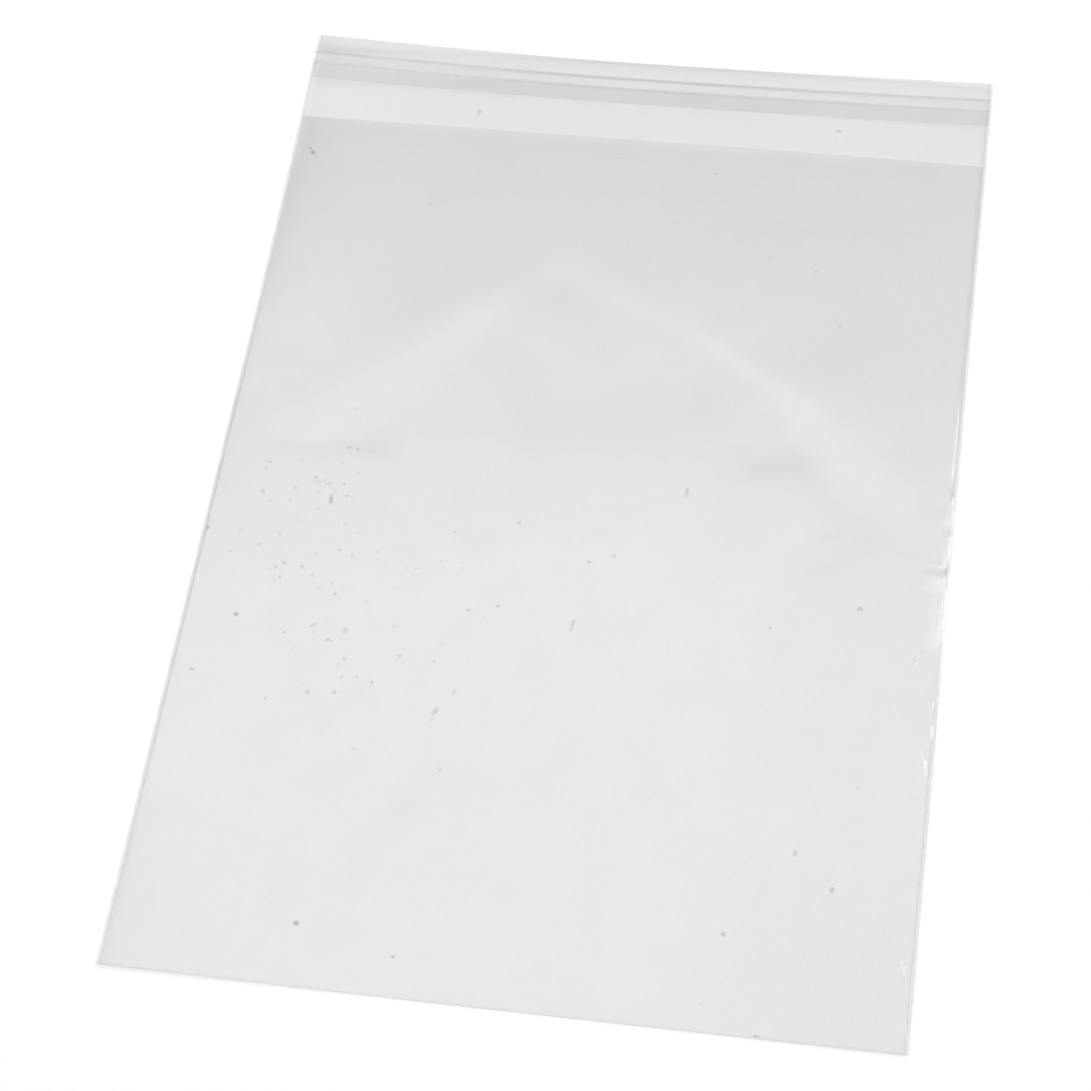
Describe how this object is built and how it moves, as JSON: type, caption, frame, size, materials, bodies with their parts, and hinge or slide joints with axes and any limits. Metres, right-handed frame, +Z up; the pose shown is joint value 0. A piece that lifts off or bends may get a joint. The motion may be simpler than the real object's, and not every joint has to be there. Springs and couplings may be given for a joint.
{
  "type": "cellophane bag",
  "caption": "Flat clear film bag with a folded bottom, welded sides and a self-seal flap with an adhesive stripe under a release liner.",
  "frame": {"origin": "under the middle of the bag as it lies flat, level with the underside of its back panel", "axes": "+X across the bag to its right side, +Y from the folded bottom to the flap, +Z up through the front panel"},
  "size_m": [0.23, 0.345, 0.0044],
  "materials": {
    "clear_film": "clear, glossy",
    "clear_adhesive": "clear, tacky",
    "clear_liner": "clear, glossy"
  },
  "bodies": {
    "root": {"bag_film": "clear_film", "adhesive_stripe": "clear_adhesive", "release_liner": "clear_liner"}
  },
  "joints": []
}
